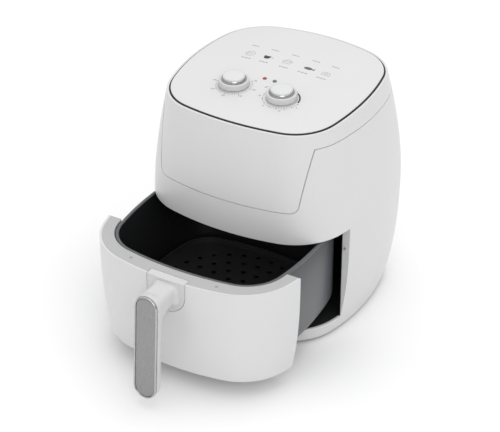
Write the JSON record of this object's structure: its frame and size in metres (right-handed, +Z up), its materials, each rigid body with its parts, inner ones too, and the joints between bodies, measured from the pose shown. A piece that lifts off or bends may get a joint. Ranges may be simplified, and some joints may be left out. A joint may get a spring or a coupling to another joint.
{
  "type": "drawer air fryer",
  "caption": "Countertop hot-air fryer with a pull-out drawer holding a non-stick pan and lift-out crisper tray, turned by two knobs on its lid.",
  "frame": {"origin": "on the surface the feet stand on, under the middle of the body", "axes": "+Z up, -Y towards the drawer and handle, +X to the right seen from the front"},
  "size_m": [0.27, 0.4432, 0.306],
  "materials": {
    "shell_white": "satin moulded white plastic",
    "lid_white": "satin moulded white plastic",
    "drawer_grey": "light grey heat-resistant plastic",
    "handle_white": "satin off-white plastic",
    "chrome_trim": "bright chrome plate",
    "brushed_insert": "brushed stainless steel",
    "seal_dark": "dark grey seal",
    "dial_grey": "light grey plastic",
    "lens_red": "red lamp lens",
    "lens_green": "green lamp lens",
    "nonstick_pan": "dark grey non-stick coating",
    "nonstick_tray": "black non-stick coating",
    "silicone": "black silicone",
    "liner_black": "black heat-resistant coating",
    "base_black": "black moulded plastic",
    "foot_rubber": "black rubber",
    "sheet_steel": "aluminised steel sheet",
    "element_steel": "heat-darkened steel tube",
    "wire_steel": "bright wire",
    "zinc_screw": "zinc-plated steel",
    "motor_steel": "laminated steel",
    "fan_aluminium": "pressed aluminium",
    "control_plastic": "dark moulded plastic",
    "inlet_grey": "grey moulded plastic"
  },
  "bodies": {
    "housing": {"base_screws": "zinc_screw", "screw_bosses": "shell_white", "lower_housing": "shell_white", "front_jambs": "shell_white", "rubber_feet": "foot_rubber", "base_plate": "base_black", "cavity_liner": "liner_black", "left_rail": "liner_black", "right_rail": "liner_black", "upper_housing": "shell_white", "front_cover": "shell_white", "lid_trim_ring": "seal_dark", "dial_rings": "dial_grey", "red_lens": "lens_red", "green_lens": "lens_green", "lid_panel": "lid_white", "timer_mechanism": "control_plastic", "thermostat_body": "motor_steel", "lamp_holder": "control_plastic", "ceiling_plate": "sheet_steel", "heater_housing": "sheet_steel", "heating_element": "element_steel", "heater_guard": "wire_steel", "motor_stator": "motor_steel", "motor_bracket": "sheet_steel", "exhaust_duct": "sheet_steel", "rear_vent_grille": "inlet_grey", "terminal_block": "control_plastic", "thermal_fuse": "zinc_screw", "thermostat_bulb": "fan_aluminium", "cord_gland": "inlet_grey", "drawer_switch": "control_plastic"},
    "drawer": {"drawer_front": "shell_white", "drawer_inner": "drawer_grey", "drawer_plugs": "dial_grey", "handle_plate": "handle_white", "handle_grip": "handle_white", "handle_bezel": "chrome_trim", "handle_insert": "brushed_insert", "handle_screws": "zinc_screw", "pan": "nonstick_pan", "pan_bracket": "control_plastic"},
    "tray": {"crisper_tray": "nonstick_tray", "tray_bumpers": "silicone"},
    "temperature_control": {"temperature_knob": "handle_white", "temperature_knob_band": "chrome_trim", "temperature_knob_cap": "lid_white", "temperature_spindle": "zinc_screw"},
    "timer_control": {"timer_knob": "handle_white", "timer_knob_band": "chrome_trim", "timer_knob_cap": "lid_white", "timer_spindle": "zinc_screw"},
    "fans": {"convection_fan": "fan_aluminium", "cooling_fan": "control_plastic", "motor_shaft": "zinc_screw", "motor_rotor": "motor_steel"},
    "plunger": {"switch_plunger": "inlet_grey"}
  },
  "joints": [
    {"name": "drawer_slide", "type": "slide", "parent": "housing", "child": "drawer", "axis": [0, -1, 0], "range_m": [-0.1169, 0.13]},
    {"name": "tray_lift", "type": "slide", "parent": "drawer", "child": "tray", "axis": [0, 0, 1], "range_m": [0, 0.088]},
    {"name": "temperature_turn", "type": "hinge", "parent": "housing", "child": "temperature_control", "pos_m": [-0.032, -0.051, 0.29179], "axis": [0, -0.0384, 0.9993], "range_deg": [-270, 0]},
    {"name": "timer_turn", "type": "hinge", "parent": "housing", "child": "timer_control", "pos_m": [0.032, -0.051, 0.29179], "axis": [0, -0.0384, 0.9993], "range_deg": [-300, 0]},
    {"name": "fan_spin", "type": "hinge", "parent": "housing", "child": "fans", "pos_m": [0, 0, 0.2], "axis": [0, 0, 1], "continuous": true},
    {"name": "plunger_press", "type": "slide", "parent": "housing", "child": "plunger", "axis": [0, 1, 0], "range_m": [0, 0.002], "stiffness_N_per_m": 60}
  ]
}
